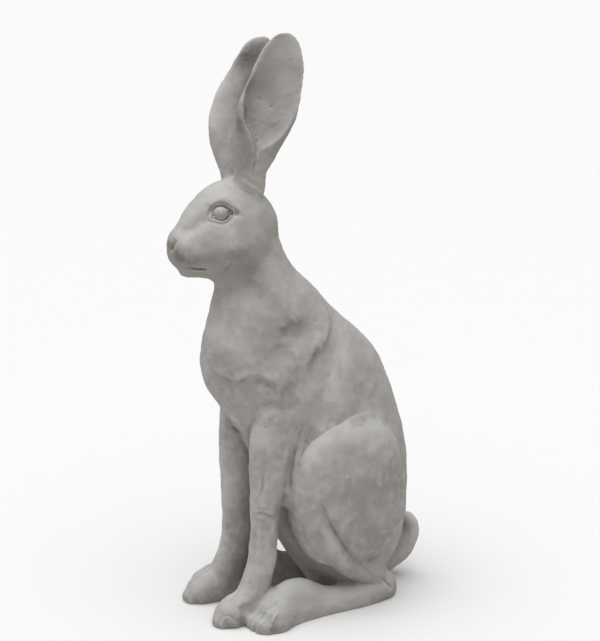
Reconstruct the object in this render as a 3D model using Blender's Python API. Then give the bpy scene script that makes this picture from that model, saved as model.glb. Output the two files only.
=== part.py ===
"""Sitting hare, a garden figure cast in one piece.

The hare faces -Y and stands on z = 0, over the middle of its own box. Its masses are blocked out as
lofts, two of each limb, merged stage by stage on a voxel grid, filled along the creases where flesh
would lie, then carved and thinned to a faceted solid with flat soles.
"""

import math

import bmesh
import bpy
import numpy as np
from mathutils import Vector

HEIGHT = 0.703  # ground to the tips of the ears
MM = HEIGHT / 703  # every size below is in millimetres of a figure 703 tall

VOXEL = 3.0 * MM
FINE_VOXEL = 1.8 * MM
TRIANGLES = 10100
RING_POINTS = 36
SIDES = (1, -1)  # the hare's left is +X

# Horizontal slices of the trunk and neck: height, front, back, half width.
TRUNK = (
    (2, 34, 116, 42),
    (30, 16, 128, 60),
    (60, -4, 141, 74),
    (90, -20, 149, 84),
    (130, -31, 151.5, 87),
    (170, -44, 153, 87),
    (210, -61, 148.5, 83),
    (240, -81, 140, 79),
    (265, -98, 132, 76),
    (290, -112.5, 122.5, 73),
    (315, -117.5, 107.5, 70),
    (340, -115, 85, 65),
    (360, -110, 63, 59),
    (380, -104, 41, 53),
    (400, -99, 25.5, 47),
    (420, -97, 2, 42),
    (445, -98, -13, 38),
    (475, -92, -23, 34),
)

# Upright slices of the head, from the back of the skull to the nose: y, bottom, top, half width.
HEAD = (
    (-24, 460, 490, 15),
    (-34, 444, 510, 26),
    (-52, 430, 525, 35),
    (-68, 422, 535, 40.5),
    (-84, 418, 534.5, 42),
    (-100, 419, 531, 40),
    (-115, 422, 522, 36),
    (-128, 427, 510, 30.5),
    (-140, 432, 496, 25.5),
    (-149, 438, 484, 21),
    (-156, 445, 474, 16),
    (-160, 452, 466, 8),
)
LOWER_JAW = (
    (0, -104, 438, 22, 20),
    (0, -122, 435, 18, 15.5),
    (0, -134, 432.5, 13.5, 12.5),
    (0, -140, 432, 10, 10),
)
LIPS = (10.5, -143, 448, 12.5, 13.5, 14)  # a whisker pad: x, y, z and its half sizes
NOSE = (5, -152, 461, 7, 7, 11)
EYEBALL = (27.5, -108.5, 502, 11.5, 11.5, 10.5)
CHEEK = (25, -93, 462, 18, 27, 29)

# Limbs of the left side, along their length: x, y, z, half width, half depth.
SHOULDER = (
    (34, 22, 344, 20, 16),
    (44, 4, 332, 27, 32),
    (50, -24, 306, 31, 42),
    (51, -34, 276, 29, 36),
    (48, -40, 250, 26, 32),
)
FORELEG = (
    (45, -40, 250, 27, 32),
    (42.5, -41, 226, 27.5, 34),
    (40, -44, 192, 25.5, 31.5),
    (38, -50.5, 158, 21, 25),
    (37.5, -55, 130, 17, 19),
    (38, -58, 100, 16, 17.5),
    (38.5, -61, 70, 16, 17),
    (39, -68, 46, 17, 18.5),
    (40, -76, 28, 18, 20),
)
FLANK = (
    (58, -22, 256, 14, 16),
    (57, -25, 225, 14, 16),
    (55, -28, 190, 12, 15),
    (53, -29, 162, 11, 14),
    (52.5, -27, 146, 10, 13),
)
FOREPAW = (
    (39, -60, 14, 16, 18),
    (40, -78, 15, 19, 25),
    (42, -97, 13, 21, 23),
    (43, -112, 9, 19, 17),
    (43.5, -118, 6, 14, 12),
)
SHIN = (
    (70, -2, 148, 22, 22),
    (76.5, 7.5, 114, 21, 21),
    (74, 20, 88, 20, 20),
    (66, 46, 60, 18, 19),
    (57, 77, 40, 17, 17),
    (52, 94, 27, 15, 13),
)
HINDFOOT = (
    (51, 101, 14, 18, 22),
    (54, 84, 11, 20, 20),
    (57, 50, 8, 20, 19),
    (58, 15, 8, 20.5, 23),
    (59, -12, 10, 21.5, 35),
    (61, -34, 11, 22.5, 37),
    (66.5, -55, 8, 25.5, 29),
    (72.5, -70, 6, 27, 22.5),
    (75, -80, 4, 22.5, 15),
)
RIGHT_FOOT = ((-80, -66, -40, 12), (1.2, 0.98, 1.09, 1.2))  # how much higher the right foot is, as y and share
RIGHT_TOES = (-60, 4)  # and its toes, from this y on, reach this much further forward
RIGHT_LEG_DEPTH = 1.13  # the right foreleg is thicker from front to back
RIGHT_LEG_FORWARD = (110, 225, 2.5)  # and between the wrist and the elbow stands a little further forward
TAIL = (
    (0, 128, 16, 16, 9),
    (0, 146, 25, 19, 10),
    (0, 162, 41, 21, 11),
    (0, 170, 60, 20, 10),
    (0, 169, 74, 15, 8),
)
THIGH = (57, 44, 152, 45, 78, 96)  # x, y, z and its half sizes
THIGH_TURN = 8  # degrees that its top leans back
THIGH_SQUARE = 2.5  # 2 is an ellipsoid; more is flatter on the side with a firmer edge

# Folds in the modelling of the left side: points along the line, how far the flesh stands up on its left
# hand and lies back on its right, as seen from outside, how wide each slope is, and how wide the edge is.
FOLDS = {
    "haunch": (
        ((76, 52, 250), (78, 38, 248), (79, 24, 243), (79, 6, 235), (77, -11, 224), (76, -22, 210),
         (76, -28, 192), (77, -31, 168)),
        2.5, 1.8, 16, 15, 2.5,
    ),
    "shoulder blade": (
        ((76, -46, 290), (80, -30, 309), (76, -14, 327), (73, -2, 337), (64, 17, 348), (46, 29, 364), (30, 30, 380)),
        1.8, 2.2, 18, 16, 12,
    ),
    "breast": (
        ((0, -119, 316), (21, -112, 307), (33, -103, 303), (43, -94, 302), (52, -80, 307), (60, -69, 307),
         (70, -58, 301), (77, -46, 297)),
        0.6, 1.2, 14, 14, 6,
    ),
    "forearm": (
        ((76, -30, 254), (77, -42, 267), (72, -56, 272), (61, -67, 268), (52, -73, 259), (44, -74, 244), (40, -74, 226)),
        0.8, 1, 14, 12, 8,
    ),
    "jaw": (
        ((24, -124, 440), (31, -104, 436), (35, -86, 435), (38, -67, 440), (38, -53, 449), (33, -43, 466), (27, -37, 486)),
        1.5, 3, 14, 14, 10,
    ),
}
# Grooves: points along the line, depth and width.
GROOVES = {
    "shin": (((92, -16, 158), (97, -4, 134), (99, 7, 114), (97, 19, 97), (92, 33, 78), (84, 52, 58)), 1.8, 5),
    "belly": (((67, -30, 226), (66, -35, 205), (66, -38, 185), (65, -38, 160)), 1.8, 4),
    "mouth": (((8, -157, 443), (15, -149, 439), (18, -140, 437), (19, -130, 436), (20, -119, 432)), 2.5, 3),
    "tear": (((33, -117, 499), (26, -127, 493), (19, -139, 486), (11, -151, 476)), 2.5, 7),
    "socket": (
        ((30, -118, 499), (30, -112, 492), (33, -104, 492), (35, -97, 500), (33, -98, 508), (29, -106, 513),
         (28, -115, 509), (30, -118, 499)),
        2.5, 2.8,
    ),
}
# Clefts between the toes, seen from above: x and y at the tip and at the root, depth.
CLEFTS = (
    ((61, -98), (61, -62), 2.8),
    ((71, -102), (69, -58), 2.8),
    ((81, -98), (78, -60), 2.8),
    ((36, -140), (37, -112), 2.2),
    ((44, -142), (43.5, -108), 2.2),
    ((52, -138), (50, -112), 2.2),
)


def through(rows, steps):
    """A smooth curve through every row of numbers, with steps points between two rows."""
    rows = np.array(rows, float)
    ends = np.vstack([2 * rows[0] - rows[1], rows, 2 * rows[-1] - rows[-2]])
    made = []
    for a, b, c, d in zip(ends, ends[1:], ends[2:], ends[3:]):
        for t in np.arange(steps) / steps:
            made.append(
                0.5 * (2 * b + (c - a) * t + (2 * a - 5 * b + 4 * c - d) * t**2 + (3 * b - a - 3 * c + d) * t**3)
            )
    made.append(rows[-1])
    return np.array(made)


def loft(rings):
    """A closed mesh through rings of as many points each, its ends closed by fans."""
    work = bmesh.new()
    loops = [[work.verts.new(Vector(p) * MM) for p in ring] for ring in rings]
    for low, high in zip(loops, loops[1:]):
        for i in range(len(low)):
            j = (i + 1) % len(low)
            work.faces.new((low[i], low[j], high[j], high[i]))
    for ring in (loops[0], loops[-1]):
        pole = work.verts.new(sum((v.co for v in ring), Vector()) / len(ring))
        for i in range(len(ring)):
            work.faces.new((ring[i], ring[(i + 1) % len(ring)], pole))
    bmesh.ops.recalc_face_normals(work, faces=work.faces)
    mesh = bpy.data.meshes.new("mass")
    work.to_mesh(mesh)
    work.free()
    return mesh


def ellipse(centre, across, along):
    """A ring round centre, with the half axes across and along as vectors."""
    turns = np.linspace(0, 2 * math.pi, RING_POINTS, endpoint=False)
    return centre + np.outer(np.cos(turns), across) + np.outer(np.sin(turns), along)


def sliced(rows, level):
    """A mass from slices square to Y or Z: place, low edge, high edge, half width. level is the other axis."""
    rings = []
    for place, low, high, wide in through(rows, 5):
        centre, along = np.zeros(3), np.zeros(3)
        centre[level], centre[3 - level] = place, (low + high) / 2
        along[3 - level] = (high - low) / 2
        rings.append(ellipse(centre, np.array([wide, 0, 0]), along))
    return loft(rings)


def limb(rows, side, roundness=6):
    """A limb through rows of x, y, z, half width and half depth, with rounded ends."""
    rows = through(rows, 5)
    rows[:, 0] *= side
    centres, halves = rows[:, :3], rows[:, 3:]
    forward = np.gradient(centres, axis=0)
    forward /= np.linalg.norm(forward, axis=1)[:, None]
    rings = []
    for end, sign in ((0, -1), (-1, 1)):
        dome = []
        for turn in np.linspace(0, math.pi / 2, roundness, endpoint=False)[1:]:
            shift = sign * math.sin(turn) * halves[end].min()
            dome.append((centres[end] + forward[end] * shift, forward[end], halves[end] * math.cos(turn)))
        rings.append(dome)
    body = list(zip(centres, forward, halves))
    made = []
    for centre, direction, (wide, deep) in rings[0][::-1] + body + rings[1]:
        across = np.array([1, 0, 0]) - direction[0] * direction
        across /= np.linalg.norm(across)
        made.append(ellipse(centre, across * wide, np.cross(direction, across) * deep))
    return loft(made)


def ball(shape, side=1, turn=0.0, square=2.0):
    """An ellipsoid of x, y, z and half sizes, turned about X by turn degrees; square above 2 fills its corners."""
    centre, halves = shape[:3], shape[3:]
    mesh = bpy.data.meshes.new("ball")
    work = bmesh.new()
    bmesh.ops.create_uvsphere(work, u_segments=32, v_segments=20, radius=1)
    c, s = math.cos(math.radians(turn)), math.sin(math.radians(turn))
    for v in work.verts:
        v.co /= sum(abs(a) ** square for a in v.co) ** (1 / square)
        x, y, z = (a * b for a, b in zip(v.co, halves))
        v.co = Vector((side * centre[0] + x, centre[1] + c * y - s * z, centre[2] + s * y + c * z)) * MM
    work.to_mesh(mesh)
    work.free()
    return mesh


# The ear along its length: height, x and y of its middle, half width, half depth, how far the leaf is open,
# as degrees from the middle of its opening to either rim, and how far that middle is turned back.
EAR = (
    (516, 12, -60, 17, 15, 0, -12),
    (530, 16, -62, 19.5, 15.5, 0, -12),
    (542, 18.5, -63.3, 20, 16, 0, -12),
    (553, 21.5, -61.8, 23.8, 16.5, 0, -12),
    (560, 24, -61.2, 26.4, 16.7, 0, -12),
    (572, 26.5, -58.2, 30.4, 17, 14, -7),
    (588, 30, -54.7, 35.8, 16.5, 33, 1),
    (602, 32, -51.3, 38.5, 16, 48, 0),
    (616, 33.5, -48, 39.2, 15, 65, 3),
    (638, 33.5, -41.5, 38.3, 13.5, 79, 4),
    (658, 33, -34, 34.9, 11.5, 86, 0),
    (681, 32, -28.8, 27.5, 8.5, 88, 0),
    (695, 32, -26, 19, 6.5, 88, 0),
    (703, 32, -25, 9, 4.5, 88, 0),
)
EAR_WALL = 5.5
EAR_HOLLOW = 11  # the most that the ear is hollowed below the line from rim to rim
EAR_DIP = ((0, 0.12, 0.33, 0.7, 0.9, 1), (0, 0.75, 1, 0.65, 0.42, 0))  # its shape from the front rim to the rear
RIGHT_EAR_LENGTH = 0.945  # the right ear is a little shorter than the left
RIGHT_EAR_ROOT = (572, 26, 2.5)  # and fuller above its root: at what height, how far up and down, how much


def ear(side):
    """A leaf rolled into a tube at its root and opening sideways: each ring runs round its back from rim to
    rim and home along the hollow, which is deepest a third of the way from the front rim."""
    rings = []
    half = RING_POINTS // 2
    length = 1 if side > 0 else RIGHT_EAR_LENGTH
    for z, x, y, wide, deep, opened, turned in through(EAR, 5):
        if side < 0:
            level, spread, more = RIGHT_EAR_ROOT
            wide += more * math.exp(-(((z - level) / spread) ** 2))
        z = EAR[2][0] + (z - EAR[2][0]) * (length if z > EAR[2][0] else 1)
        reach = math.pi - math.radians(max(opened, 0))
        turns = np.linspace(-reach, reach, half) - math.radians(turned)
        back = np.stack([-deep * np.cos(turns), wide * np.sin(turns)], axis=1)
        wall = min(EAR_WALL, 0.8 * deep)
        front, rear = back[[0, -1]][np.argsort(back[[0, -1], 1])]
        share = np.linspace(0, 1, half)
        home = front + np.outer(share, rear - front)
        inside = -(deep - wall) * np.sqrt(np.maximum(1 - (home[:, 1] / (wide - wall)) ** 2, 0))
        dip = np.interp(share, *EAR_DIP) * EAR_HOLLOW * min(max(opened, 0) / 35, 1)
        home[:, 0] = np.minimum(home[:, 0], np.maximum(home[:, 0] - dip, inside))
        home = home if back[0, 1] < back[-1, 1] else home[::-1]
        ring = np.vstack([back, home[::-1][1:-1]])
        rings.append(np.stack([side * (x + ring[:, 0]), y + ring[:, 1], np.full(len(ring), z)], axis=1))
    return loft(rings)


def as_object(name, mesh):
    made = bpy.data.objects.new(name, mesh)
    bpy.context.scene.collection.objects.link(made)
    return made


def evaluated(obj):
    """The object's mesh with its modifiers applied; the object itself is removed."""
    graph = bpy.context.evaluated_depsgraph_get()
    mesh = bpy.data.meshes.new_from_object(obj.evaluated_get(graph))
    bpy.data.objects.remove(obj)
    return mesh


def merged(masses, voxel):
    """The masses as one skin, by a voxel remesh."""
    work = bmesh.new()
    for mesh in masses:
        work.from_mesh(mesh)
    mesh = bpy.data.meshes.new("merged")
    work.to_mesh(mesh)
    work.free()
    obj = as_object("merged", mesh)
    remesh = obj.modifiers.new("Skin", "REMESH")
    remesh.mode = "VOXEL"
    remesh.voxel_size = voxel
    return evaluated(obj)


def points_of(mesh):
    flat = np.empty(len(mesh.vertices) * 3, np.float32)
    mesh.vertices.foreach_get("co", flat)
    return flat.reshape(-1, 3).astype(float)


def normals_of(mesh):
    flat = np.empty(len(mesh.vertices) * 3, np.float32)
    mesh.vertices.foreach_get("normal", flat)
    return flat.reshape(-1, 3).astype(float)


def move_points(mesh, points):
    mesh.vertices.foreach_set("co", points.astype(np.float32).ravel())
    mesh.update()


def settle(mesh, passes, valleys_only, strength=None):
    """Each point goes halfway to the middle of its neighbours. With valleys_only it never sinks, so creases
    fill like flesh and the ridges keep their size."""
    ends = np.empty(len(mesh.edges) * 2, np.int32)
    mesh.edges.foreach_get("vertices", ends)
    a, b = ends.reshape(-1, 2).T
    count = len(mesh.vertices)
    near = np.bincount(a, minlength=count) + np.bincount(b, minlength=count)
    points = points_of(mesh)
    for _ in range(passes):
        mean = np.stack(
            [
                np.bincount(a, points[b, k], count) + np.bincount(b, points[a, k], count)
                for k in range(3)
            ],
            axis=1,
        )
        step = mean / near[:, None] - points
        if valleys_only:
            normals = normals_of(mesh)
            rise = np.einsum("ij,ij->i", step, normals)
            step -= np.minimum(rise, 0)[:, None] * normals
        if strength is not None:
            step *= strength[:, None]
        points += 0.5 * step
        move_points(mesh, points)
    return mesh


# How plain each band of heights is, as the share of the thinning that it takes.
PLAIN_BANDS = {1.0: (50, 415), 0.45: (-99, 50), 0.3: (415, 520), 0.8: (520, 999)}


def beside(points, normals, line):
    """For each point, its distance from the line, the side it lies on, and how far along the line it is."""
    best = np.full(len(points), np.inf)
    hand = np.ones(len(points))
    share = np.zeros(len(points))
    for i, (a, b) in enumerate(zip(line, line[1:])):
        t = np.clip((points - a) @ (b - a) / ((b - a) @ (b - a)), 0, 1)
        away = points - a - t[:, None] * (b - a)
        far = np.linalg.norm(away, axis=1)
        near = far < best
        best[near] = far[near]
        hand[near] = np.sign(np.einsum("ij,ij->i", np.cross(b - a, away[near]), normals[near]))
        share[near] = (i + t[near]) / (len(line) - 1)
    return best, hand, share


def fade(share, ends=0.15):
    """Nothing at either end of a line and all of it between."""
    t = np.clip(np.minimum(share, 1 - share) / ends, 0, 1)
    return t * t * (3 - 2 * t)


def carved(mesh):
    """The folds, grooves and clefts, worked into both sides along the surface's own direction."""
    points, normals = points_of(mesh) / MM, normals_of(mesh)
    lift = np.zeros(len(points))
    for side in SIDES:
        mirror = np.array([side, 1, 1])
        here, facing = points * mirror, normals * mirror
        for path, rise, fall, rise_wide, fall_wide, edge in FOLDS.values():
            far, hand, share = beside(here, facing, through(path, 4))
            step = np.where(hand > 0, rise * np.exp(-((far / rise_wide) ** 2)), -fall * np.exp(-((far / fall_wide) ** 2)))
            ramp = np.sin(np.clip(far / edge, 0, 1) * math.pi / 2)
            lift += (step * ramp + (rise - fall) / 2 * (1 - ramp)) * fade(share, 0.25)
        for path, depth, wide in GROOVES.values():
            far, hand, share = beside(here, facing, through(path, 4))
            lift -= depth * np.exp(-((far / wide) ** 2)) * fade(share)
        flat = here * [1, 1, 0]
        for tip, root, depth in CLEFTS:
            far, hand, share = beside(flat, facing, np.array([(*tip, 0), (*root, 0)], float))
            reach = np.clip(1.4 - 1.4 * share, 0, 1) * (here[:, 2] < 60)
            lift -= depth * np.exp(-((far / 2.6) ** 2)) * reach
    move_points(mesh, (points + lift[:, None] * normals) * MM)
    return mesh


def thinned(mesh, triangles):
    """The mesh with about this many triangles, more of them on the head and the feet."""
    obj = as_object("thinned", mesh)
    group = obj.vertex_groups.new(name="plain")
    for band, (low, high) in PLAIN_BANDS.items():
        heights = points_of(mesh)[:, 2] / MM
        group.add(np.flatnonzero((heights >= low) & (heights < high)).tolist(), band, "REPLACE")
    obj.modifiers.new("Triangles", "TRIANGULATE")
    thin = obj.modifiers.new("Thin", "DECIMATE")
    thin.ratio = triangles / sum(len(p.vertices) - 2 for p in mesh.polygons)
    thin.vertex_group = group.name
    thin.vertex_group_factor = 1e-5
    return evaluated(obj)


def stand_flat(mesh):
    """Cuts the soles off flat on the ground."""
    work = bmesh.new()
    work.from_mesh(mesh)
    bmesh.ops.bisect_plane(
        work,
        geom=work.verts[:] + work.edges[:] + work.faces[:],
        dist=1e-6,
        plane_co=(0, 0, 0),
        plane_no=(0, 0, 1),
        clear_inner=True,
    )
    rim = [e for e in work.edges if e.is_boundary]
    bmesh.ops.edgenet_fill(work, edges=rim)
    bmesh.ops.triangulate(work, faces=work.faces)
    bmesh.ops.recalc_face_normals(work, faces=work.faces)
    work.to_mesh(mesh)
    work.free()
    return mesh


def hare():
    body = [sliced(TRUNK, 2), sliced(HEAD, 1), limb(LOWER_JAW, 1)]
    for side in SIDES:
        body += [ball(CHEEK, side), limb(SHOULDER, side)]
    body = merged(body, 2 * VOXEL)
    settle(body, 16, valleys_only=True)
    settle(body, 2, valleys_only=False)
    masses = [body]
    for side in SIDES:
        masses += [ball(THIGH, side, THIGH_TURN, THIGH_SQUARE), limb(SHIN, side), limb(FLANK, side)]
        masses += [ball(LIPS, side), ball(NOSE, side)]
    body = merged(masses, VOXEL)
    settle(body, 10, valleys_only=True)
    masses = [body, limb(TAIL, 1)]
    for side in SIDES:
        foot, foreleg = HINDFOOT, FORELEG
        if side < 0:
            rise = [np.interp(row[1], *RIGHT_FOOT) for row in foot]
            start, reach = RIGHT_TOES
            foot = [(x, y - reach * (y < start), z * r, w, d * r) for r, (x, y, z, w, d) in zip(rise, foot)]
            more = RIGHT_LEG_DEPTH - 1
            low, high, shift = RIGHT_LEG_FORWARD
            ahead = [shift * (low < row[2] < high) for row in foreleg]
            foreleg = [(x, y + d * more - a, z, w, d * (1 + more)) for a, (x, y, z, w, d) in zip(ahead, foreleg)]
        masses += [limb(foreleg, side), limb(FOREPAW, side), limb(foot, side), ear(side)]
        masses.append(ball(EYEBALL, side))
    body = merged(masses, FINE_VOXEL)
    settle(body, 5, valleys_only=True)
    settle(body, 2, valleys_only=False)
    carved(body)
    settle(body, 1, valleys_only=False)
    return stand_flat(thinned(body, TRIANGLES))


def cast_stone():
    material = bpy.data.materials.new("cast_stone")
    material.use_nodes = True
    shader = material.node_tree.nodes["Principled BSDF"]
    shader.inputs["Base Color"].default_value = (0.33, 0.32, 0.305, 1)
    shader.inputs["Roughness"].default_value = 0.85
    return material


def main():
    for old in list(bpy.data.objects):
        bpy.data.objects.remove(old)
    mesh = hare()
    points = points_of(mesh)
    middle = (points.min(0) + points.max(0)) / 2
    move_points(mesh, points - [middle[0], middle[1], 0])
    figure = as_object("hare", mesh)
    figure.data.materials.append(cast_stone())


main()
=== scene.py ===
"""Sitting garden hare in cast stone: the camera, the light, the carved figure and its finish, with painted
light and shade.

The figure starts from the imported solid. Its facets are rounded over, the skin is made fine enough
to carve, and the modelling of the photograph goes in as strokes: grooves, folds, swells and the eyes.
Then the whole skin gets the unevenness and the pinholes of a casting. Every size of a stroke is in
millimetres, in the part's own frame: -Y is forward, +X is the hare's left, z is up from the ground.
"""

import math

import bmesh
import bpy
import numpy as np
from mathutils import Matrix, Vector
from mathutils.bvhtree import BVHTree


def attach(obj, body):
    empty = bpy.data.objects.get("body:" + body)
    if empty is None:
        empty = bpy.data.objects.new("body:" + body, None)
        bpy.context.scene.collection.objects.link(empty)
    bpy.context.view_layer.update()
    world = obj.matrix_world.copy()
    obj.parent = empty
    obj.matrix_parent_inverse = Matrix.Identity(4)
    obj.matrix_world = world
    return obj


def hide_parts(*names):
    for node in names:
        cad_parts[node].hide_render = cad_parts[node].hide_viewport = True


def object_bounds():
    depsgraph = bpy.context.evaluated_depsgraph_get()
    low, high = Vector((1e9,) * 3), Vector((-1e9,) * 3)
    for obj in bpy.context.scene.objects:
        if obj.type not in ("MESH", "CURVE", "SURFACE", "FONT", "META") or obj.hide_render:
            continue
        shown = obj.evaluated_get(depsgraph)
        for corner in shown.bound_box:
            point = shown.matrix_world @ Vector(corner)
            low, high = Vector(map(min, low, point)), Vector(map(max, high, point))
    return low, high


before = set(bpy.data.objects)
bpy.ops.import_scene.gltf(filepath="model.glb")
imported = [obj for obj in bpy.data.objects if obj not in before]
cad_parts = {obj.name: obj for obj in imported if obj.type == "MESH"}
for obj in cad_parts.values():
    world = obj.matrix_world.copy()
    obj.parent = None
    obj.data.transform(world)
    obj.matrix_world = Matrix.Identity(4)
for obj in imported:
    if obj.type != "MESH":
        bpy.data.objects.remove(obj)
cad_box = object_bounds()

MM = 0.001
SIDES = (1, -1)

# Skin: the size of its squares, the heights where the head begins and the feet end, which are finer, the
# most triangles that are kept, and how far the skin stays inside the solid's box
BODY_GRAIN = 1.7
HEAD_FROM = 412
FEET_BELOW = 60
MOST_TRIANGLES = 190000
WITHIN = 0.05
# How strongly a facet is curved, how often the new skin is eased before it is carved, and how often to find
# what lies in a recess
FACET_CURVE = 0.75
SKIN_PASSES = 3
RECESS_PASSES = 30

# Camera: the point it looks at and its distance in metres, the angles in degrees from the front round to
# the hare's left and up, and the lens in millimetres on a 36 mm wide sensor
AIM = Vector((0.0220, -0.0100, 0.36))
AZIMUTH = 62.0
ELEVATION = 14.0
DISTANCE = 2.2
LENS = 103.34
SENSOR = 36

# Light: strengths of the studio and of the overhead light, and degrees: how wide that light is and how far
# it leans to the hare's left and to its front
SKY = 0.34
SUN = 2.25
SUN_SPREAD = 75
SUN_TILT = (7, 11)

# Eye: its middle, the way it faces and the way back along it, the radius of its ball, how far the ball
# stands over the skin, and how much longer than high the opening is
EYE = np.array((29.6, -116.7, 500.6))
EYE_FACING = np.array((0.843, -0.358, 0.402))
EYE_BACK = np.array((0.391, 0.920, 0.0))
BALL = 8.8
BALL_PROUD = 2.5
EYE_LONG = 1.07
# How far from the middle: the skin that is remade, the ring that tells how the plain skin runs, where the
# lids die out, and where the skin as it was takes over
EYE_REACH = 24
PLAIN_RING = (15.5, 21)
LIDS_END = (20, 23)
SKIN_AGAIN = (17, 21.5)
# The lids from the middle outwards: how far out, and how high over the skin
UPPER_LID = (
    (7.2, -2.6), (8.0, -4.6), (9.0, -5.4), (10.0, -4.2), (10.9, -2.8), (12.2, -2.0), (14.2, 0.8),
    (17, 0.9), (21, 0), (25, 0),
)
LOWER_LID = (
    (7.3, -2.6), (8.0, -3.6), (8.8, -1.8), (9.7, -0.4), (10.8, -1.0), (12.3, -2.0), (14, -1.1),
    (16, -0.2), (18, 0.1), (21, 0), (25, 0),
)
# Between which heights the lower lid gives way to the upper one, as shares of the way out from the middle
LID_CHANGE = (-0.25, 0.35)
# The corners of the eye: the way to each, as degrees up from the back, how far it draws the lids out, and
# over how many degrees
CORNERS = ((-155, 0.24, 20), (9, 0.3, 20))
# The iris and the lens on the ball: the middle as back and up, the radii between which it fades, and how
# far it stands out or, with a minus, lies in
ON_BALL = (((0.3, -1.5), (4.4, 5.6), -0.35), ((-0.7, -1), (0.4, 1.3), 0.6))

# Where the carving is finest: how far round the eye, in front of what, from what height and to what height
EYE_ROUND = 21
MUZZLE_BEFORE = -124
MUZZLE_FROM = 424
MUZZLE_TO = 478

# How far a stroke reaches, in its own widths, and where the filling of a seam reaches its full strength, as
# a share of the way in from the edge
GROOVE_REACH = 2.6
FOLD_REACH = 2.4
SWELL_REACH = 2.2
FILL_EDGE = 0.6

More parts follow.
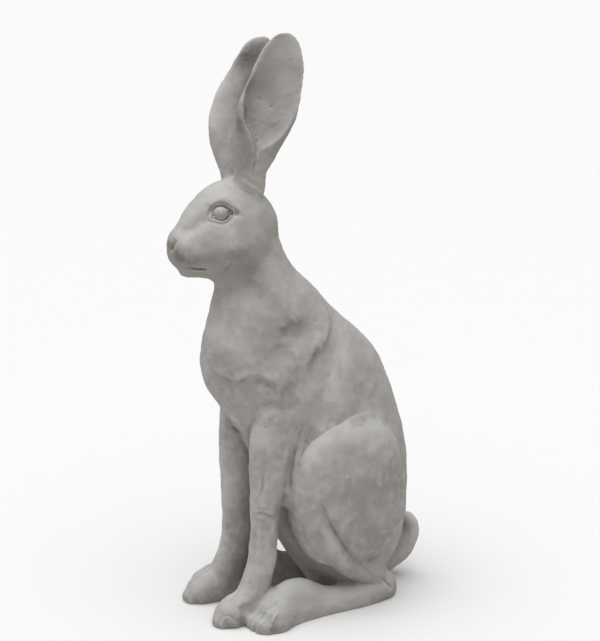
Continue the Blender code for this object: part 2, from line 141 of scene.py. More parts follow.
# Grooves of the left side: path, depth, width, and the shares of the path that fade in and out.
# A negative depth is a ridge.
GROOVES = {
    "tear furrow": (
        ((25, -123, 503), (23, -133, 498), (22, -142, 486), (15, -154, 479), (10, -165, 471)),
        0.7, 6, 0.3, 0.3,
    ),
    "brow hollow": (((17, -129, 513), (24, -129, 506), (31, -129, 499)), 1.3, 4.5, 0.4, 0.4),
    "brow": (((21, -119, 516), (24, -113, 517), (29, -105, 515), (33, -97, 511)), -0.8, 4, 0.3, 0.3),
    "rear corner": (
        ((31.6, -108, 504), (35, -102, 502.5), (39, -97, 499), (43, -91, 495)),
        3.4, 3, 0.02, 0.45,
    ),
    "nostril": (((10, -165, 473), (9, -167, 466), (7, -169, 460), (3, -170, 456)), 3.4, 2.9, 0.2, 0.3),
    "nostril wing": (((12, -165, 471), (13, -166, 464), (10, -168, 458)), -0.4, 1.8, 0.25, 0.25),
    "cleft of the lip": (((0, -170, 457), (2, -168, 451), (4, -166, 445)), 1.6, 1.8, 0.1, 0.2),
    "lip line": (
        ((9, -163, 440), (15, -157, 438), (15, -150, 437), (16, -143, 435)),
        0.9, 1.6, 0.3, 0.2,
    ),
    "mouth slit": (
        ((15, -150, 437), (16, -143, 435), (18, -134, 434), (20, -130, 433)),
        3.2, 1.0, 0.12, 0.1,
    ),
    "upper lip": (((14, -153, 440), (16, -143, 438), (19, -133, 436.5)), -0.7, 1.5, 0.3, 0.3),
    "lower lip": (((14, -151, 434), (15, -143, 432), (18, -133, 431)), -0.7, 1.5, 0.3, 0.3),
    "chin crease": (
        ((5, -155, 429), (11, -148, 430), (14, -137, 429), (16, -130, 428)),
        0.8, 2.5, 0.3, 0.3,
    ),
    "pad wrinkle": (((21, -158, 460), (22, -157, 453), (22, -157, 448)), -0.5, 1.3, 0.3, 0.3),
    "throat crease": (((38, -110, 445), (21, -107, 426), (10, -107, 406)), 1.2, 4, 0.3, 0.3),
    "jaw dent": (((37, -113, 444), (34, -103, 440), (32, -94, 435)), 0.9, 2.4, 0.4, 0.4),
    "ear foot fold": (((40, -78, 561), (37, -78, 551), (33, -77, 539)), 1.1, 2, 0.2, 0.4),
    "ear rim": (
        ((40, -77, 561), (40, -71, 571), (43, -55, 580), (43, -42, 590), (41, -33, 603), (34, -24, 626)),
        -1, 2.2, 0.1, 0.3,
    ),
    "ear channel": (((33, -78, 662), (29, -79, 634), (31, -78, 612), (34, -74, 589)), 1.3, 4, 0.3, 0.3),
    "ear vein": (((28, -58, 668), (26, -60, 640), (32, -66, 607), (38, -64, 584)), 0.5, 3, 0.3, 0.3),
    "far ear edge": (((18, -79, 598), (13, -82, 578), (8, -84, 555), (5, -86, 537)), -0.9, 3, 0.3, 0.2),
    "ear root ridge": (
        ((28, -87, 536), (30, -79, 530), (29, -69, 524), (17, -55, 514)),
        -1, 2, 0.25, 0.25,
    ),
    "ear root hollow": (
        ((21, -92, 543), (29, -84, 540), (31, -77, 534), (28, -64, 527)),
        1.3, 3, 0.25, 0.25,
    ),
    "nape notch": (((26, 20, 380), (34, 21, 372), (40, 22, 363), (47, 24, 352)), 0.9, 3, 0.35, 0.5),
    "shoulder dimple": (
        ((55, -62, 364), (59, -51, 357), (60, -36, 356), (60, -22, 358), (58, -8, 360)),
        1.3, 9, 0.35, 0.35,
    ),
    "breast hollow": (
        ((66, -76, 281), (78, -56, 295), (80, -46, 313), (77, -37, 328)),
        1.5, 9, 0.35, 0.35,
    ),
    "breast dent": (
        ((33, -114, 317), (39, -108, 310), (43, -101, 301), (51, -93, 310), (56, -84, 317)),
        0.5, 3.4, 0.35, 0.35,
    ),
    "breast dent behind": (((56, -84, 317), (63, -74, 315), (71, -66, 311)), 0.45, 3.2, 0.35, 0.35),
    "breast dent below": (((50, -91, 303), (58, -80, 300), (70, -68, 293)), 0.5, 3.4, 0.35, 0.35),
    "breast dent above": (((12, -125, 331), (26, -118, 329), (34, -112, 331)), 0.4, 3, 0.35, 0.35),
    "belly strip": (
        ((67, -37, 227), (65, -40, 208), (65, -43, 190), (65, -44, 171), (66, -43, 153)),
        1, 2.2, 0.25, 0.3,
    ),
    "elbow": (
        ((75, -30, 254), (71, -34, 241), (67, -41, 215), (64, -46, 197), (62, -49, 177)),
        0.8, 3, 0.25, 0.25,
    ),
    "shin groove": (
        ((93, -23, 158), (96, -18, 148), (98, -11, 130), (99, -2, 114), (97, 8, 99), (94, 21, 80),
         (85, 41, 61)),
        0.6, 1.3, 0.2, 0.35,
    ),
    "wrist": (((44, -81, 137), (51, -76, 136), (54, -69, 133), (54, -58, 128)), 1.1, 1.6, 0.2, 0.25),
    "wrist above": (((45, -81, 143), (51, -77, 143), (55, -68, 141)), 0.6, 1.4, 0.25, 0.25),
    "tendon": (((55, -78, 193), (54, -77, 173), (49, -80, 153)), 1.1, 1.8, 0.3, 0.3),
    "heel tendon": (((85, 36, 67), (81, 47, 56), (76, 60, 43), (69, 73, 27)), 1.1, 2.6, 0.3, 0.3),
    "heel wedge": (((74, 68, 40), (68, 82, 29), (69, 89, 21), (68, 95, 12)), 1.6, 2.2, 0.4, 0.2),
    "hind toe ridge": (
        ((88, -73, 25), (92, -81, 20), (94, -86, 14), (96, -91, 7)),
        -1.4, 1.4, 0.3, 0.25,
    ),
    "hind toe edge": (((73, -69, 35), (75, -76, 31), (77, -84, 25), (79, -90, 18)), -1.1, 1.6, 0.3, 0.3),
    "hind toe dent": (((77, -68, 34), (81, -76, 29), (85, -84, 23)), 0.9, 1.8, 0.3, 0.3),
    "hind toe cleft": (
        ((68, -82, 29), (69, -89, 24), (74, -97, 16), (77, -103, 8)),
        0.6, 2.2, 0.3, 0.15,
    ),
    "paw ridge": (((35, -106, 40), (41, -116, 34), (44, -124, 27), (48, -131, 20)), -1, 1.6, 0.3, 0.25),
    "paw ridge beside": (
        ((43, -98, 41), (46, -105, 37), (49, -114, 33), (53, -123, 25)),
        -0.9, 1.6, 0.3, 0.3,
    ),
    "paw dent": (((38, -98, 42), (41, -105, 38), (46, -115, 33), (49, -124, 27)), 0.8, 1.6, 0.3, 0.3),
    "paw toe": (((52, -133, 13), (56, -128, 18), (60, -123, 16), (62, -121, 10)), 0.9, 1.8, 0.3, 0.3),
    "paw toe behind": (((62, -118, 11), (62, -111, 14), (63, -105, 10), (65, -103, 4)), 0.5, 1.8, 0.3, 0.3),
}

# Seams of the solid that lie shallower in the casting: path and how far the filling reaches
HAUNCH_SEAM = (
    (68, 69, 247), (74, 48, 250), (77, 29, 248), (79, 15, 243), (78, -5, 234), (76, -21, 224),
    (74, -32, 210), (75, -38, 192),
)
BELLY_SEAM = ((76, -30, 254), (70, -34, 230), (66, -41, 205), (64, -46, 185), (64, -47, 165))
SEAMS = ((HAUNCH_SEAM, 13), (BELLY_SEAM, 7))
SEAM_PASSES = 60

# Pits of the left side and, with a negative depth, grains that stand proud: place, radius and depth.
PITS = (
    ((32, -72, 605), 1.9, 1.2),
    ((27, -65, 630), 2.2, 1.1),
    ((61, -76, 247), 1.3, 1),
    ((72, -31, 214), 1.8, 1.4),
    ((100, 12, 182), 1.4, -0.7),
    ((68, -62, 217), 1.4, -0.7),
)

# Folds of the left side: path, how far the flesh stands up on the left hand of the path and lies back on
# its right, how wide each slope is, how wide the edge is, and the shares that fade in and out.
FOLDS = {
    "whisker pad": (
        ((14, -166, 455), (18, -161, 450), (23, -151, 446), (25, -140, 446), (26, -132, 442)),
        1.2, 2.5, 8, 7, 4, 0.15, 0.3,
    ),
    "muzzle edge": (
        ((33, -130, 477), (35, -128, 466), (33, -128, 454), (29, -123, 441)),
        -0.8, -0.8, 9, 9, 4, 0.3, 0.3,
    ),
    "cheek": (
        ((35, -127, 466), (39, -117, 460), (42, -105, 457), (40, -92, 455), (39, -78, 456), (38, -68, 459),
         (35, -59, 465)),
        1.5, 2.5, 14, 14, 9, 0.25, 0.25,
    ),
    "haunch": (HAUNCH_SEAM + ((76, -40, 168),), 0.6, 0.6, 9, 8, 1.5, 0.2, 0.3),
    "breast": (
        ((5, -127, 310), (21, -121, 306), (29, -116, 305), (41, -105, 300), (45, -100, 304), (51, -90, 311),
         (59, -79, 309), (70, -67, 301), (77, -58, 299)),
        0.2, 0.4, 9, 9, 3, 0.25, 0.25,
    ),
    "chest": (((4, -105, 257), (9, -93, 242), (13, -79, 224), (41, -83, 227)), 0.6, 1.2, 8, 8, 3, 0.3, 0.3),
}

# Patches of painted light, or with a minus painted shade: the middle of the patch, its radius and
# how much. Those lower than EARS_FROM lie on both sides.
EARS_FROM = 530
PATCHES = (
    ((38, -116, 478), 22, 0.6),
    ((40, -84, 482), 20, 0.4),
    ((18, -150, 468), 16, 1.0),
    ((14, -94, 530), 26, 0.9),
    ((14, -130, 510), 15, -0.35),
    ((32, -112, 356), 24, 0.5),
    ((80, -8, 290), 36, 0.9),
    ((66, 26, 330), 20, 0.9),
    ((78, -25, 214), 14, 1.1),
    ((80, -5, 232), 14, 1.1),
    ((80, 18, 241), 13, 0.8),
    ((90, 8, 204), 20, -0.4),
    ((58, -70, 240), 20, 0.4),
    ((88, 20, 18), 34, 0.5),
    ((10, 152, 50), 26, 0.5),
    ((84, -10, 110), 34, 0.1),
    ((-25, -93, 610), 26, 1.7),
    ((-26, -78, 645), 18, 0.7),
    ((-10, -90, 556), 16, 0.3),
    ((36, -30, 680), 20, 0.5),
    ((60, -40, 350), 26, -1.0),
    ((70, -30, 340), 24, -0.8),
    ((62, -8, 358), 20, -0.7),
    ((74, -58, 300), 22, -0.6),
    ((36, -112, 312), 22, -0.4),
    ((12, -122, 335), 18, -0.3),
    ((35, -80, 425), 18, -0.7),
    ((34, -104, 448), 19, -0.6),
    ((40, -96, 620), 11, -1.1),
    ((40, -94, 600), 13, -0.8),
    ((38, -89, 572), 16, -0.6),
    ((31, -90, 549), 15, -0.5),
    ((36, -24, 600), 14, -0.6),
    ((42, -42, 574), 13, -0.5),
    ((30, -80, 620), 13, -0.5),
    ((-24, -56, 674), 17, -1.2),
    ((30, -80, 648), 14, -0.6),
    ((17, -163, 453), 9, -1.2),
    ((24, -148, 448), 9, -0.7),
    ((32, -131, 449), 12, -0.4),
    ((3, -170, 463), 7, -0.9),
    ((30, -117, 501), 11, -0.8),
    ((86, -86, 18), 24, -1.2),
    ((52, -126, 18), 18, -0.3),
    ((46, -34, 108), 20, -0.6),
    ((12, 3, 38), 24, 0.7),
)


def points_of(mesh):
    """The mesh's points in millimetres."""
    flat = np.empty(len(mesh.vertices) * 3, np.float32)
    mesh.vertices.foreach_get("co", flat)
    return flat.reshape(-1, 3).astype(float) / MM


def normals_of(mesh):
    flat = np.empty(len(mesh.vertices) * 3, np.float32)
    mesh.vertices.foreach_get("normal", flat)
    return flat.reshape(-1, 3).astype(float)


def move_points(mesh, points):
    mesh.vertices.foreach_set("co", (points * MM).astype(np.float32).ravel())
    mesh.update()


def evaluated(obj):
    """The object's mesh with its modifiers applied; the object itself is removed."""
    mesh = bpy.data.meshes.new_from_object(obj.evaluated_get(bpy.context.evaluated_depsgraph_get()))
    bpy.data.objects.remove(obj)
    return mesh


def as_object(name, mesh):
    made = bpy.data.objects.new(name, mesh)
    bpy.context.scene.collection.objects.link(made)
    return made


def rounded_over(source, parts=4):
    """The facets of a solid as curved patches: each new point is drawn towards the tangent planes of its
    facet's corners, so that the patches meet smoothly and pass through every corner."""
    work = bmesh.new()
    work.from_mesh(source)
    bmesh.ops.remove_doubles(work, verts=work.verts, dist=1e-6)
    bmesh.ops.triangulate(work, faces=work.faces)
    work.normal_update()
    corners = np.array([[v.co for v in f.verts] for f in work.faces])
    facing = np.array([[v.normal for v in f.verts] for f in work.faces])
    work.free()
    shares = []
    for i in range(parts + 1):
        for j in range(parts + 1 - i):
            shares.append((i / parts, j / parts, 1 - (i + j) / parts))
    shares = np.array(shares)
    flat = np.einsum("sk,fkc->fsc", shares, corners)
    off = np.einsum("fskc,fkc->fsk", flat[:, :, None, :] - corners[:, None, :, :], facing)
    drawn = flat - np.einsum("sk,fsk,fkc->fsc", shares, off, facing)
    made = (1 - FACET_CURVE) * flat + FACET_CURVE * drawn
    place = {}
    for i in range(parts + 1):
        for j in range(parts + 1 - i):
            place[i, j] = len(place)
    small = []
    for i in range(parts):
        for j in range(parts - i):
            small.append((place[i, j], place[i + 1, j], place[i, j + 1]))
            if i + j < parts - 1:
                small.append((place[i + 1, j], place[i + 1, j + 1], place[i, j + 1]))
    faces = np.array(small)[None] + (np.arange(len(made)) * len(shares))[:, None, None]
    mesh = bpy.data.meshes.new("rounded")
    mesh.from_pydata(made.reshape(-1, 3), [], faces.reshape(-1, 3).tolist())
    return mesh


def skinned(mesh, grain):
    """A new even skin over the mesh, as squares of about the grain in millimetres."""
    obj = as_object("skin", mesh)
    remesh = obj.modifiers.new("Skin", "REMESH")
    remesh.mode = "VOXEL"
    remesh.voxel_size = grain * MM
    return evaluated(obj)


def finer(mesh, chosen):
    """The squares whose corners are all chosen are cut in four; chosen says which of the points are."""
    inside = chosen(points_of(mesh))
    work = bmesh.new()
    work.from_mesh(mesh)
    edges = [e for e in work.edges if inside[e.verts[0].index] and inside[e.verts[1].index]]
    bmesh.ops.subdivide_edges(work, edges=edges, cuts=1, use_grid_fill=True)
    work.to_mesh(mesh)
    work.free()
    return mesh


def on_head_and_feet(points):
    return (points[:, 2] > HEAD_FROM) | (points[:, 2] < FEET_BELOW)


def on_face(points):
    """The eyes, the nose and the mouth, where the carving is finest."""
    folded = points.copy()
    folded[:, 0] = np.abs(folded[:, 0])
    eye = np.linalg.norm(folded - EYE, axis=1) < EYE_ROUND
    muzzle = (points[:, 1] < MUZZLE_BEFORE) & (points[:, 2] > MUZZLE_FROM) & (points[:, 2] < MUZZLE_TO)
    return eye | muzzle


def links_of(mesh):
    ends = np.empty(len(mesh.edges) * 2, np.int32)
    mesh.edges.foreach_get("vertices", ends)
    return ends.reshape(-1, 2).T


def eased(points, links, passes, share=None):
    """The points after each has gone halfway to the middle of its neighbours, passes times, or a share of
    that way where a share is given."""
    a, b = links
    if share is not None:
        chosen = (share[a] > 0) | (share[b] > 0)
        a, b = a[chosen], b[chosen]
    count = len(points)
    near = np.maximum(np.bincount(a, minlength=count) + np.bincount(b, minlength=count), 1)
    points = points.copy()
    for _ in range(passes):
        sums = [np.bincount(a, points[b, k], count) + np.bincount(b, points[a, k], count) for k in range(3)]
        mean = np.stack(sums, axis=1)
        step = 0.5 * (mean / near[:, None] - points)
        points += step if share is None else step * share[:, None]
    return points


def through(rows, steps=5):
    """A smooth curve through every row of numbers, with steps points between two rows."""
    rows = np.array(rows, float)
    ends = np.vstack([2 * rows[0] - rows[1], rows, 2 * rows[-1] - rows[-2]])
    made = []
    for a, b, c, d in zip(ends, ends[1:], ends[2:], ends[3:]):
        for t in np.arange(steps) / steps:
            bend, twist = 2 * a - 5 * b + 4 * c - d, 3 * b - a - 3 * c + d
            made.append(0.5 * (2 * b + (c - a) * t + bend * t**2 + twist * t**3))
    made.append(rows[-1])
    return np.array(made)


def smooth(low, high, value):
    """Nothing below low, one above high and a smooth step between."""
    t = np.clip((value - low) / (high - low), 0, 1)
    return t * t * (3 - 2 * t)


def fade(share, start, end):
    """Nothing at the ends of a line and all of it between."""
    return smooth(0, start, share) * smooth(0, end, 1 - share)


class Clay:
    """The skin while it is carved: where each point is and which way it faces."""

    def __init__(self, mesh):
        self.mesh = mesh
        self.links = links_of(mesh)
        self.faces = [tuple(p.vertices) for p in mesh.polygons]
        self.refresh(points_of(mesh))

    def refresh(self, points):
        move_points(self.mesh, points)
        self.points = points
        self.facing = normals_of(self.mesh)
        self.tree = BVHTree.FromPolygons(points.tolist(), self.faces)

    def along(self, path, reach):
        """The points within reach of a path laid on the skin: which they are, how far off, on which hand,
        how far along, and how squarely they face the way the skin under the path does."""
        hits = [self.tree.find_nearest(Vector(p)) for p in through(path, 4)]
        line, ways = np.array([h[0] for h in hits]), np.array([h[1] for h in hits])
        boxed = (self.points > line.min(0) - reach) & (self.points < line.max(0) + reach)
        which = np.flatnonzero(boxed.all(1))
        here, facing = self.points[which], self.facing[which]
        best = np.full(len(which), np.inf)
        hand, share, square = np.ones(len(which)), np.zeros(len(which)), np.zeros(len(which))
        for i, (a, b) in enumerate(zip(line, line[1:])):
            run = b - a
            t = np.clip((here - a) @ run / max(run @ run, 1e-9), 0, 1)
            away = here - a - t[:, None] * run
            far = np.linalg.norm(away, axis=1)
            near = far < best
            best[near] = far[near]
            hand[near] = np.sign(np.einsum("ij,ij->i", np.cross(run, away[near]), facing[near]))
            share[near] = (i + t[near]) / (len(line) - 1)
            square[near] = facing[near] @ ways[i]
        keep = best < reach
        return which[keep], best[keep], hand[keep], share[keep], np.clip(2 * square[keep], 0, 1)

    def push(self, which, lift):
        """Lifts the chosen points along the way they face."""
        self.points[which] += lift[:, None] * self.facing[which]

    def groove(self, path, depth, width, start, end):
        """A round-bottomed groove, or a ridge where the depth is less than nothing."""
        which, far, _, share, square = self.along(path, GROOVE_REACH * width)
        self.push(which, -depth * np.exp(-((far / width) ** 2)) * fade(share, start, end) * square)

    def fold(self, path, rise, fall, rise_wide, fall_wide, edge, start, end, side):
        """A step in the skin, up on the left hand of the path and down on the right; mirrored by side."""
        which, far, hand, share, square = self.along(path, FOLD_REACH * max(rise_wide, fall_wide))
        up, down = rise * np.exp(-((far / rise_wide) ** 2)), -fall * np.exp(-((far / fall_wide) ** 2))
        ramp = np.sin(np.clip(far / edge, 0, 1) * math.pi / 2)
        lift = np.where(hand * side > 0, up, down) * ramp + (rise - fall) / 2 * (1 - ramp)
        self.push(which, lift * fade(share, start, end) * square)

    def fill(self, path, reach):
        """Softens the skin round a path, least at the edge of its reach."""
        which, far, *_ = self.along(path, reach)
        near = np.zeros(len(self.points))
        near[which] = smooth(0, FILL_EDGE, 1 - far / reach)
        self.points = eased(self.points, self.links, SEAM_PASSES, near)

    def swell(self, middle, radius, lift):
        """A round swelling, or a pit where the lift is less than nothing."""
        far = np.linalg.norm(self.points - middle, axis=1)
        which = np.flatnonzero(far < SWELL_REACH * radius)
        self.push(which, lift * np.exp(-((far[which] / radius) ** 2)))


def eye(clay, side):
    """Rebuilds the eye over the plain skin round it: a ball in a deep ring, a heavy upper lid, a thin lower
    one with a groove under it, and a flat iris and a small lens on the ball."""
    mirror = np.array([side, 1, 1])
    which = np.flatnonzero(np.linalg.norm(clay.points - EYE * mirror, axis=1) < EYE_REACH)
    here = clay.points[which] * mirror - EYE
    up = np.cross(EYE_FACING, EYE_BACK)
    a, b, w = here @ EYE_BACK, here @ up, here @ EYE_FACING
    r = np.hypot(a / EYE_LONG, b)
    terms = np.stack([np.ones_like(a), a, b, a * a, a * b, b * b], axis=1)
    ring = (r > PLAIN_RING[0]) & (r < PLAIN_RING[1])
    skin = terms @ np.linalg.lstsq(terms[ring], w[ring], rcond=None)[0]
    turn = np.degrees(np.arctan2(b, a))
    drawn = np.zeros_like(r)
    for way, share, spread in CORNERS:
        off = (turn - way + 180) % 360 - 180
        drawn += share * np.exp(-((off / spread) ** 2))
    lid_r = r * (1 - drawn)
    upper, lower = through(UPPER_LID, 6).T, through(LOWER_LID, 6).T
    share = smooth(*LID_CHANGE, b / np.maximum(r, 1e-6))
    lids = np.interp(lid_r, *upper) * share + np.interp(lid_r, *lower) * (1 - share)
    ball = BALL_PROUD - BALL + np.sqrt(np.maximum(BALL**2 - r**2, 0))
    for (back, high), edge, lift in ON_BALL:
        ball += lift * (1 - smooth(*edge, np.hypot(a - back, b - high)))
    made = np.where(r < BALL, np.maximum(ball, lids), lids)
    old = smooth(*SKIN_AGAIN, r)
    level = skin * (1 - old) + w * old + made * (1 - smooth(*LIDS_END, r))
    moved = EYE + np.outer(a, EYE_BACK) + np.outer(b, up) + np.outer(level, EYE_FACING)
    clay.points[which] = moved * mirror


def carve(clay):
    """All strokes on both sides: the seams and the eyes, then the folds, then the grooves and the pits."""
    for side in SIDES:
        for path, reach in SEAMS:
            clay.fill(path * np.array([side, 1, 1]), reach)
        eye(clay, side)
    clay.refresh(clay.points)
    for side in SIDES:
        mirror = np.array([side, 1, 1])
        for path, *shape in FOLDS.values():
            clay.fold(path * mirror, *shape, side)
    clay.refresh(clay.points)
    for side in SIDES:
        mirror = np.array([side, 1, 1])
        for path, *shape in GROOVES.values():
            clay.groove(path * mirror, *shape)
        for place, radius, depth in PITS:
            clay.swell(place * mirror, radius, -depth)
    clay.refresh(clay.points)


def node_adder(tree):
    """Adds a node to this tree: its settings, the values of its sockets, and its links as socket:
    (node, output)."""

    def made(kind, values=None, links=None, **settings):
        node = tree.nodes.new(kind)
        for name, value in settings.items():
            setattr(node, name, value)
        for socket, value in (values or {}).items():
            node.inputs[socket].default_value = value
        for socket, (source, output) in (links or {}).items():
            tree.links.new(source.outputs[output], node.inputs[socket])
        return node

    return made


# The skin of the casting: the unevenness left by the hand that modelled it, and pinholes, where air
# bubbles sat against the mould. Lengths are in metres.
CAST_SKIN = {
    "Lump Width": 0.034,
    "Lump Height": 0.0011,
    "Dab Width": 0.010,
    "Dab Height": 0.0004,
    "Pinholes Per Square Metre": 220.0,
    "Pinhole Radius": 0.0017,
    "Pinhole Depth": 0.0011,
}
PINHOLE_SEED = 7
# The middle of the noise, and how many times its swing fits between nothing and one
NOISE_MIDDLE = 0.5
NOISE_PARTS = 4.0


def cast_skin():
    """Moves the skin along its own direction by two sizes of noise, sinks it round scattered points and
    gives it its stone."""
    tree = bpy.data.node_groups.new("cast_skin", "GeometryNodeTree")
    face = tree.interface
    face.new_socket("Geometry", in_out="INPUT", socket_type="NodeSocketGeometry")
    for name in CAST_SKIN:
        face.new_socket(name, in_out="INPUT", socket_type="NodeSocketFloat")
    face.new_socket("Geometry", in_out="OUTPUT", socket_type="NodeSocketGeometry")
    add = node_adder(tree)
    given = add("NodeGroupInput")
    place = add("GeometryNodeInputPosition")
    facing = add("GeometryNodeInputNormal")
    height = None
    for size, tall, detail in (("Lump Width", "Lump Height", 1.5), ("Dab Width", "Dab Height", 2.5)):
        scale = add("ShaderNodeMath", {0: 1.0}, {1: (given, size)}, operation="DIVIDE")
        noise = add(
            "ShaderNodeTexNoise",
            {"Detail": detail, "Roughness": 0.55},
            {"Vector": (place, 0), "Scale": (scale, 0)},
        )
        off = add("ShaderNodeMath", {1: NOISE_MIDDLE}, {0: (noise, 0)}, operation="SUBTRACT")
        swing = add("ShaderNodeMath", {1: NOISE_PARTS}, {0: (off, 0)}, operation="MULTIPLY")
        lift = add("ShaderNodeMath", {}, {0: (swing, 0), 1: (given, tall)}, operation="MULTIPLY")
        if height is not None:
            lift = add("ShaderNodeMath", {}, {0: (height, 0), 1: (lift, 0)}, operation="ADD")
        height = lift
    holes = add(
        "GeometryNodeDistributePointsOnFaces",
        {"Seed": PINHOLE_SEED},
        {"Mesh": (given, "Geometry"), "Density": (given, "Pinholes Per Square Metre")},
    )
    near = add("GeometryNodeProximity", {}, {0: (holes, 0)}, target_element="POINTS")
    share = add(
        "ShaderNodeMath", {}, {0: (near, "Distance"), 1: (given, "Pinhole Radius")}, operation="DIVIDE"
    )
    bowl = add(
        "ShaderNodeMapRange",
        {"To Min": 1.0, "To Max": 0.0},
        {"Value": (share, 0)},
        interpolation_type="SMOOTHSTEP",
    )
    sunk = add("ShaderNodeMath", {}, {0: (bowl, 0), 1: (given, "Pinhole Depth")}, operation="MULTIPLY")
    total = add("ShaderNodeMath", {}, {0: (height, 0), 1: (sunk, 0)}, operation="SUBTRACT")
    shift = add("ShaderNodeVectorMath", {}, {0: (facing, 0), 3: (total, 0)}, operation="SCALE")
    moved = add("GeometryNodeSetPosition", {}, {"Geometry": (given, "Geometry"), "Offset": (shift, 0)})
    whole = add("GeometryNodeRealizeInstances", {}, {0: (moved, 0)})
    stone = add("GeometryNodeSetMaterial", {"Material": cast_stone_with_painted_light()}, {"Geometry": (whole, 0)})
    add("NodeGroupOutput", {}, {0: (stone, 0)})
    return tree


def set_camera():
    azimuth, elevation = math.radians(AZIMUTH), math.radians(ELEVATION)
    level = math.cos(elevation)
    back = Vector((math.sin(azimuth) * level, -math.cos(azimuth) * level, math.sin(elevation)))
    data = bpy.data.cameras.new("camera")
    data.lens = LENS
    data.sensor_width = SENSOR
    camera = bpy.data.objects.new("camera", data)
    camera.location = AIM + back * DISTANCE
    camera.rotation_euler = (-back).to_track_quat("-Z", "Y").to_euler()
    bpy.context.scene.collection.objects.link(camera)
    bpy.context.scene.camera = camera


def linear(colour):
    """A colour given as sRGB hex digits, as the linear values that a shader takes."""
    parts = [int(colour[i : i + 2], 16) / 255 for i in (0, 2, 4)]
    return [p / 12.92 if p <= 0.04045 else ((p + 0.055) / 1.055) ** 2.4 for p in parts] + [1]


def new_material(name, roughness):
    material = bpy.data.materials.new(name)
    material.use_nodes = True
    tree = material.node_tree
    shader = tree.nodes["Principled BSDF"]
    shader.inputs["Roughness"].default_value = roughness
    return material, tree, shader


# Sizes of the marks in the stone, in metres: clouds, patches, grains of sand and how high these stand
CLOUD_SIZE = 0.075
PATCH_SIZE = 0.024
SAND_SIZE = 0.0015
SAND_HEIGHT = 0.0005


def cast_stone_with_painted_light():
    """Vibrated cast stone, cement and fine sand, left matt by the mould: warm grey with paler clouds,
    patches of painted light and painted shade, painted light on the tops and painted shade below and in
    the recesses, paler on ridges, and a sandy grain."""
    material, tree, shader = new_material("cast_stone_with_painted_light", 0.9)
    shader.inputs["Specular IOR Level"].default_value = 0.25
    add = node_adder(tree)
    place = add("ShaderNodeTexCoord")

    def noise(size, detail, roughness):
        values = {"Scale": 1 / size, "Detail": detail, "Roughness": roughness}
        return add("ShaderNodeTexNoise", values, {"Vector": (place, "Object")})

    def ramp(source, low, high, end=1.0, start=0.0):
        """From start to end while the source goes from low to high."""
        values = {"From Min": low, "From Max": high, "To Min": start, "To Max": end}
        return add("ShaderNodeMapRange", values, {"Value": source})

    def tinted(below, colour, share):
        """The colour over what is below it, by the share."""
        return add(
            "ShaderNodeMix", {7: linear(colour)}, {0: (share, 0), 6: (below, 2)}, data_type="RGBA"
        )

    cloud = noise(CLOUD_SIZE, 3, 0.5)
    patch = noise(PATCH_SIZE, 4, 0.55)
    grain = noise(SAND_SIZE, 3, 0.6)
    # Cement with paler clouds, then small patches, darker and paler
    body = add(
        "ShaderNodeMix",
        {6: linear("97918c"), 7: linear("a8a5a1")},
        {0: (ramp((cloud, 0), 0.36, 0.64), 0)},
        data_type="RGBA",
    )
    spotted = tinted(body, "847e79", ramp((patch, 0), 0.50, 0.30, 0.32))
    mottled = tinted(spotted, "b8b5b2", ramp((patch, 0), 0.52, 0.72, 0.32))
    # Patches of painted light and painted shade, with ragged edges
    painted_light_and_shade = add("ShaderNodeAttribute", attribute_name="painted_light_and_shade")
    ragged = ramp((patch, 0), 0.35, 0.65, 1.5, 0.5)
    amount = add("ShaderNodeMath", {}, {0: (painted_light_and_shade, "Fac"), 1: (ragged, 0)}, operation="MULTIPLY")
    painted_pale_patches = tinted(mottled, "c4c0bc", ramp((amount, 0), 0, 1, 0.8))
    painted_dark_patches = tinted(painted_pale_patches, "6a645f", ramp((amount, 0), 0, -1, 0.8))
    # Painted light on the tops and painted shade on the undersides, by the way the skin faces
    way = add("ShaderNodeSeparateXYZ", {}, {0: (place, "Normal")})
    painted_top_light = tinted(painted_dark_patches, "d0cfcd", ramp((way, "Z"), 0.1, 0.95, 0.75))
    shaded = tinted(painted_top_light, "7c7772", ramp((way, "Z"), 0.1, -0.85, 0.38))
    # Paler on the ridges, and painted shade in the recesses
    recess = add("ShaderNodeAttribute", attribute_name="recess")
    paler_ridges = tinted(shaded, "cccbc9", ramp((recess, "Fac"), -0.1, -0.6, 0.35))
    painted_recess_shade = tinted(paler_ridges, "57524d", ramp((recess, "Fac"), 0.15, 1.1, 0.7))
    tree.links.new(painted_recess_shade.outputs[2], shader.inputs["Base Color"])
    bump = add("ShaderNodeBump", {"Strength": 0.3, "Distance": SAND_HEIGHT}, {"Height": (grain, 0)})
    tree.links.new(bump.outputs[0], shader.inputs["Normal"])
    return material


def pale_floor():
    """A very wide sheet of matt white paper."""
    material, _, shader = new_material("matt_white_paper", 0.9)
    shader.inputs["Base Color"].default_value = linear("f8f8f8")
    shader.inputs["Specular IOR Level"].default_value = 0.1
    work = bmesh.new()
    bmesh.ops.create_circle(work, cap_ends=True, segments=64, radius=40)
    mesh = bpy.data.meshes.new("floor")
    work.to_mesh(mesh)
    work.free()
    mesh.materials.append(material)
    as_object("floor", mesh)


def set_light():
    """An even white studio with one very wide soft light overhead, a little to the front and the left."""
    world = bpy.data.worlds.new("studio")
    world.use_nodes = True
    world.node_tree.nodes["Background"].inputs["Color"].default_value = linear("ffffff")
    world.node_tree.nodes["Background"].inputs["Strength"].default_value = SKY
    bpy.context.scene.world = world
    data = bpy.data.lights.new("overhead light", "SUN")
    data.energy = SUN
    data.angle = math.radians(SUN_SPREAD)
    lamp = bpy.data.objects.new("overhead light", data)
    lamp.rotation_euler = (math.radians(SUN_TILT[1]), math.radians(SUN_TILT[0]), 0)
    bpy.context.scene.collection.objects.link(lamp)


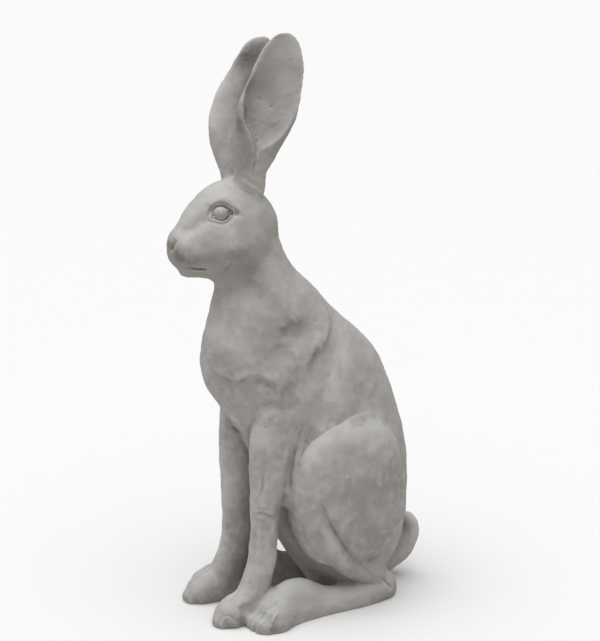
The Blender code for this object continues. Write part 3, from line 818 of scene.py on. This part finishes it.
def stand_flat(mesh):
    """Cuts the soles off flat on the ground and closes them."""
    work = bmesh.new()
    work.from_mesh(mesh)
    geometry = work.verts[:] + work.edges[:] + work.faces[:]
    bmesh.ops.bisect_plane(
        work, geom=geometry, dist=1e-7, plane_co=(0, 0, 0), plane_no=(0, 0, 1), clear_inner=True
    )
    bmesh.ops.edgenet_fill(work, edges=[e for e in work.edges if e.is_boundary])
    bmesh.ops.triangulate(work, faces=work.faces)
    work.to_mesh(mesh)
    work.free()


def cast(mesh):
    """The mesh with the skin of a casting."""
    obj = as_object("carved", mesh)
    modifier = obj.modifiers.new("Cast skin", "NODES")
    modifier.node_group = cast_skin()
    for item in modifier.node_group.interface.items_tree:
        if item.name in CAST_SKIN:
            modifier[item.identifier] = CAST_SKIN[item.name]
    return evaluated(obj)


def keep_in_box(mesh):
    """Keeps the skin inside the solid's box. What comes close to the ground goes a little under it, where
    it is cut off flat later."""
    low, high = np.array(cad_box) / MM
    points = np.clip(points_of(mesh), low + WITHIN, high - WITHIN)
    points[:, 2] = np.where(points[:, 2] < low[2] + 2 * WITHIN, low[2] - WITHIN, points[:, 2])
    move_points(mesh, points)
    return points


def mark(mesh, name, values):
    """Stores a value for each point, for the stone to read."""
    mesh.attributes.new(name, "FLOAT", "POINT").data.foreach_set("value", values.astype(np.float32))


def mark_recesses(mesh, points):
    """How many millimetres each point lies below the eased skin round it or, with a minus, above it."""
    level = eased(points, links_of(mesh), RECESS_PASSES)
    mark(mesh, "recess", np.einsum("ij,ij->i", level - points, normals_of(mesh)))


def mark_painted_light_and_shade(mesh, points):
    """How much painted light each point gets or, with a minus, painted shade."""
    painted_light_and_shade = np.zeros(len(points))
    for place, radius, amount in PATCHES:
        for side in SIDES if place[2] < EARS_FROM else SIDES[:1]:
            far = np.linalg.norm(points - np.array(place) * [side, 1, 1], axis=1)
            painted_light_and_shade += amount * np.exp(-((far / radius) ** 2))
    mark(mesh, "painted_light_and_shade", painted_light_and_shade)


def thinned(mesh):
    """The mesh as triangles, no more than the most that are kept."""
    obj = as_object("thinned", mesh)
    obj.modifiers.new("Triangles", "TRIANGULATE")
    thin = obj.modifiers.new("Thin", "DECIMATE")
    thin.ratio = min(1, MOST_TRIANGLES / sum(len(p.vertices) - 2 for p in mesh.polygons))
    return evaluated(obj)


def hare():
    mesh = skinned(rounded_over(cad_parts["hare"].data), BODY_GRAIN)
    mesh = finer(mesh, on_head_and_feet)
    mesh = finer(mesh, on_face)
    clay = Clay(mesh)
    clay.refresh(eased(clay.points, clay.links, SKIN_PASSES))
    carve(clay)
    mesh = cast(mesh)
    points = keep_in_box(mesh)
    mark_recesses(mesh, points)
    mark_painted_light_and_shade(mesh, points)
    mesh = thinned(mesh)
    stand_flat(mesh)
    mesh.shade_smooth()
    figure = as_object("hare_figure", mesh)
    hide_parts("hare")
    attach(figure, "root")


bpy.context.scene.view_settings.view_transform = "Standard"
set_camera()
set_light()
pale_floor()
hare()
